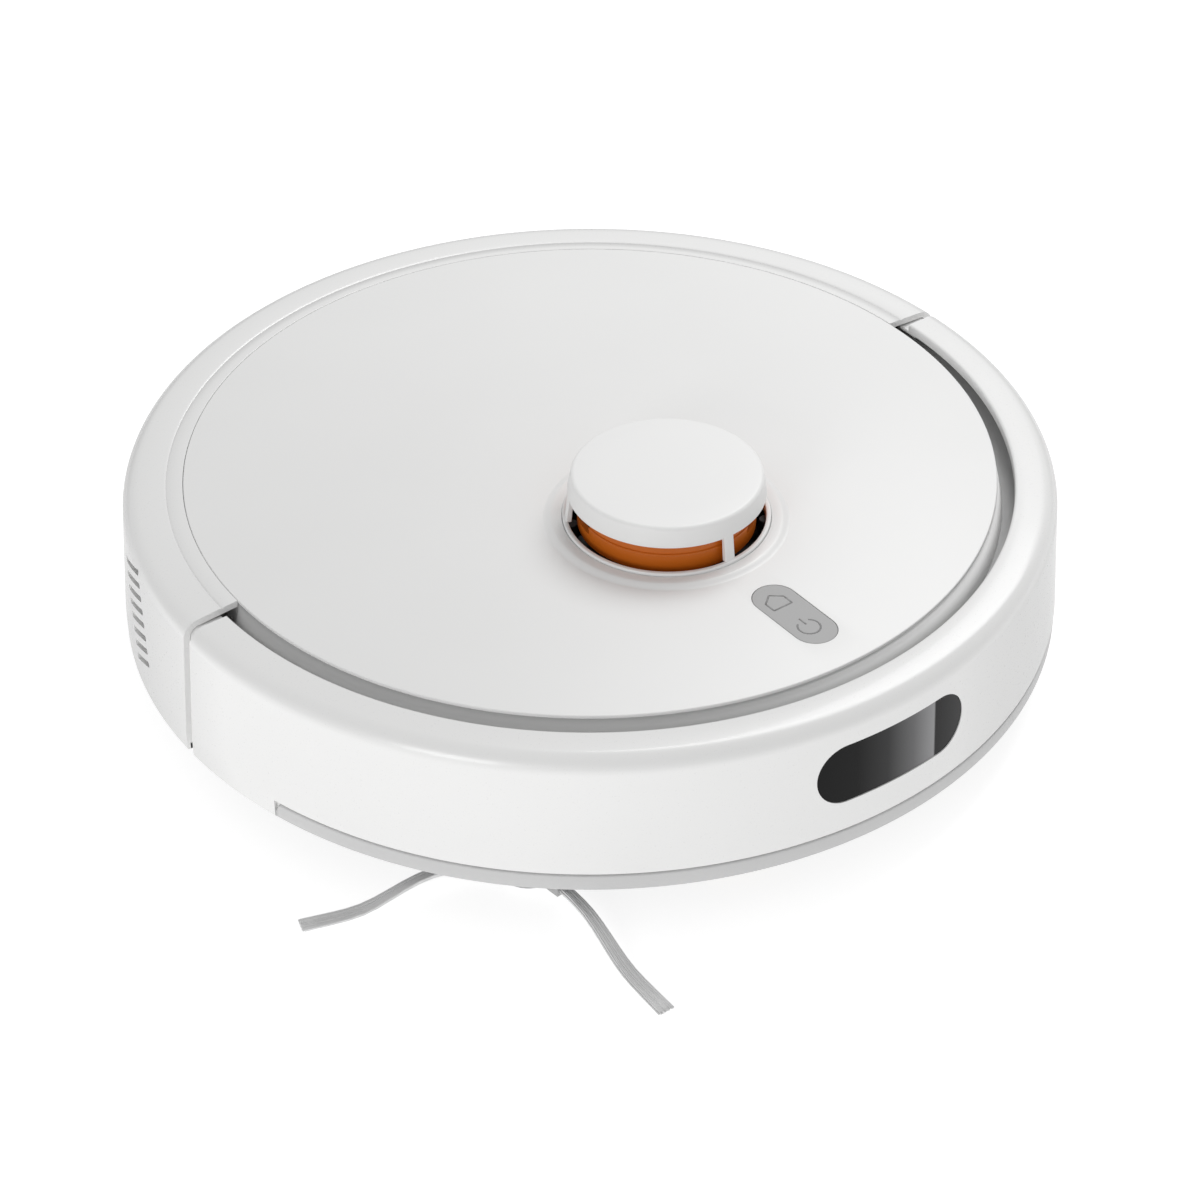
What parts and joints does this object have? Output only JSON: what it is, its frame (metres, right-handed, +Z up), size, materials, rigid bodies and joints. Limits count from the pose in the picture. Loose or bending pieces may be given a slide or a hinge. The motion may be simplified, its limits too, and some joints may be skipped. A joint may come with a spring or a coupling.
{
  "type": "robot vacuum cleaner",
  "caption": "Low round robotic floor cleaner with a sprung front bumper, laser turret, rocker button, side brush, main brush, rear dust bin and mop.",
  "frame": {"origin": "on the floor under the centre of the round body", "axes": "front faces -Y, +Z up, the robot's left side is +X"},
  "size_m": [0.3575, 0.3611, 0.0945],
  "materials": {
    "white_shell": "gloss",
    "turret_white": "satin",
    "frame_grey": "matte",
    "chassis_black": "matte",
    "part_grey": "matte",
    "strip_grey": "satin",
    "window_black": "gloss",
    "rotor_orange": "satin",
    "button_grey": "satin",
    "circuit_green": "satin",
    "battery_blue": "satin",
    "steel": "satin",
    "contact_gold": "satin",
    "belt_black": "matte",
    "gear_white": "satin",
    "gear_brass": "satin",
    "bin_smoke": "gloss",
    "filter_paper": "matte",
    "mop_cloth": "matte",
    "bristle_grey": "satin",
    "bristle_orange": "satin",
    "tyre_black": "matte",
    "lens_dark": "gloss"
  },
  "bodies": {
    "body": {"chassis": "chassis_black", "mid_frame": "frame_grey", "rear_shell": "white_shell", "top_plate": "white_shell", "bumper_springs": "steel", "bumper_switches": "chassis_black", "lds_base": "part_grey", "lds_bearing": "steel", "lds_cover": "turret_white", "lds_motor": "steel", "lds_belt": "belt_black", "button_board": "circuit_green", "main_board": "circuit_green", "battery_pack": "battery_blue", "battery_cover": "chassis_black", "speaker": "part_grey", "blower_housing": "part_grey", "blower_motor": "steel", "brush_housing": "part_grey", "brush_motor": "steel", "side_gearbox": "part_grey", "side_motor": "steel", "caster_socket": "part_grey", "suspension_pins": "steel", "charging_contacts": "contact_gold", "cliff_sensors": "lens_dark", "chassis_screws": "steel"},
    "bumper": {"bumper": "white_shell", "bumper_strip": "strip_grey", "sensor_window": "window_black"},
    "turret_rotor": {"lds_rotor": "rotor_orange", "lds_optics": "window_black"},
    "turret_pulley": {"lds_motor_pulley": "gear_white"},
    "button": {"button_pad": "button_grey"},
    "impeller": {"fan_impeller": "gear_white"},
    "bin": {"dust_bin": "white_shell", "bin_lid": "bin_smoke", "filter_frame": "gear_white", "filter_element": "filter_paper"},
    "flap": {"bin_flap": "part_grey"},
    "latch": {"bin_latch": "button_grey"},
    "mop": {"mop_bracket": "part_grey", "mop_pad": "mop_cloth"},
    "main_brush": {"main_brush_core": "part_grey", "main_brush_bristles": "bristle_orange", "brush_gear": "gear_white"},
    "idler": {"brush_idler": "gear_white"},
    "pinion": {"brush_pinion": "gear_brass"},
    "brush_cover": {"brush_cover": "part_grey"},
    "side_brush": {"side_brush_hub": "button_grey", "side_brush_bristles": "bristle_grey"},
    "side_pinion": {"side_pinion": "gear_brass"},
    "caster_fork": {"caster_fork": "chassis_black"},
    "caster_wheel": {"caster_wheel": "part_grey"},
    "left_arm": {"left_wheel_arm": "part_grey"},
    "left_wheel": {"left_wheel_hub": "part_grey", "left_tyre": "tyre_black"},
    "right_arm": {"right_wheel_arm": "part_grey"},
    "right_wheel": {"right_wheel_hub": "part_grey", "right_tyre": "tyre_black"}
  },
  "joints": [
    {"name": "bumper_press", "type": "slide", "parent": "body", "child": "bumper", "axis": [0, 1, 0], "range_m": [0, 0.0035], "stiffness_N_per_m": 900, "springref_m": -0.002, "deforming": ["bumper_springs"]},
    {"name": "turret_spin", "type": "hinge", "parent": "body", "child": "turret_rotor", "pos_m": [0, -0.046, 0.057], "axis": [0, 0, 1], "continuous": true},
    {"name": "turret_motor_spin", "type": "hinge", "parent": "body", "child": "turret_pulley", "pos_m": [0.045, -0.046, 0.06], "axis": [0, 0, 1], "continuous": true},
    {"name": "button_rock", "type": "hinge", "parent": "body", "child": "button", "pos_m": [0, -0.118, 0.0726], "axis": [1, 0, 0], "range_deg": [-1.5, 1.5], "stiffness_Nm_per_rad": 0.5},
    {"name": "impeller_spin", "type": "hinge", "parent": "body", "child": "impeller", "pos_m": [-0.116, 0.068, 0.04], "axis": [0, 0, 1], "continuous": true},
    {"name": "bin_slide", "type": "slide", "parent": "body", "child": "bin", "axis": [0, 1, 0], "range_m": [0, 0.12]},
    {"name": "flap_swing", "type": "hinge", "parent": "bin", "child": "flap", "pos_m": [0, 0.0651, 0.0476], "axis": [1, 0, 0], "range_deg": [0, 70]},
    {"name": "latch_press", "type": "slide", "parent": "bin", "child": "latch", "axis": [0, -1, 0], "range_m": [0, 0.0025], "stiffness_N_per_m": 400, "springref_m": -0.001},
    {"name": "mop_slide", "type": "slide", "parent": "body", "child": "mop", "axis": [0, 1, 0], "range_m": [0, 0.09]},
    {"name": "main_brush_spin", "type": "hinge", "parent": "body", "child": "main_brush", "pos_m": [0, 0.032, 0.0215], "axis": [1, 0, 0], "continuous": true},
    {"name": "idler_spin", "type": "hinge", "parent": "body", "child": "idler", "pos_m": [-0.095, 0.032, 0.0404], "axis": [1, 0, 0], "continuous": true},
    {"name": "pinion_spin", "type": "hinge", "parent": "body", "child": "pinion", "pos_m": [-0.09, 0.032, 0.0566], "axis": [1, 0, 0], "continuous": true},
    {"name": "brush_cover_hinge", "type": "hinge", "parent": "body", "child": "brush_cover", "pos_m": [0, 0.0079, 0.0099], "axis": [-1, 0, 0], "range_deg": [0, 60]},
    {"name": "side_brush_spin", "type": "hinge", "parent": "body", "child": "side_brush", "pos_m": [-0.104, -0.104, 0.02], "axis": [0, 0, 1], "continuous": true},
    {"name": "side_pinion_spin", "type": "hinge", "parent": "body", "child": "side_pinion", "pos_m": [-0.09438, -0.09438, 0.03], "axis": [0, 0, 1], "continuous": true},
    {"name": "caster_swivel", "type": "hinge", "parent": "body", "child": "caster_fork", "pos_m": [0, -0.125, 0.033], "axis": [0, 0, 1], "continuous": true},
    {"name": "caster_roll", "type": "hinge", "parent": "caster_fork", "child": "caster_wheel", "pos_m": [0, -0.12, 0.013], "axis": [1, 0, 0], "continuous": true},
    {"name": "left_suspension", "type": "hinge", "parent": "body", "child": "left_arm", "pos_m": [0.097, -0.045, 0.038], "axis": [-1, 0, 0], "range_deg": [0, 24], "stiffness_Nm_per_rad": 0.3, "springref_deg": 47.56},
    {"name": "left_wheel_spin", "type": "hinge", "parent": "left_arm", "child": "left_wheel", "pos_m": [0.117, 0, 0.035], "axis": [1, 0, 0], "continuous": true},
    {"name": "right_suspension", "type": "hinge", "parent": "body", "child": "right_arm", "pos_m": [-0.097, -0.045, 0.038], "axis": [-1, 0, 0], "range_deg": [0, 24], "stiffness_Nm_per_rad": 0.3, "springref_deg": 47.56, "deforming": ["side_brush_bristles"]},
    {"name": "right_wheel_spin", "type": "hinge", "parent": "right_arm", "child": "right_wheel", "pos_m": [-0.117, 0, 0.035], "axis": [1, 0, 0], "continuous": true}
  ],
  "couplings": [
    {"joint": "turret_motor_spin", "follows": "turret_spin", "ratio": 5},
    {"joint": "idler_spin", "follows": "main_brush_spin", "ratio": -0.61538},
    {"joint": "pinion_spin", "follows": "main_brush_spin", "ratio": 1.6},
    {"joint": "side_pinion_spin", "follows": "side_brush_spin", "ratio": -2.4}
  ]
}
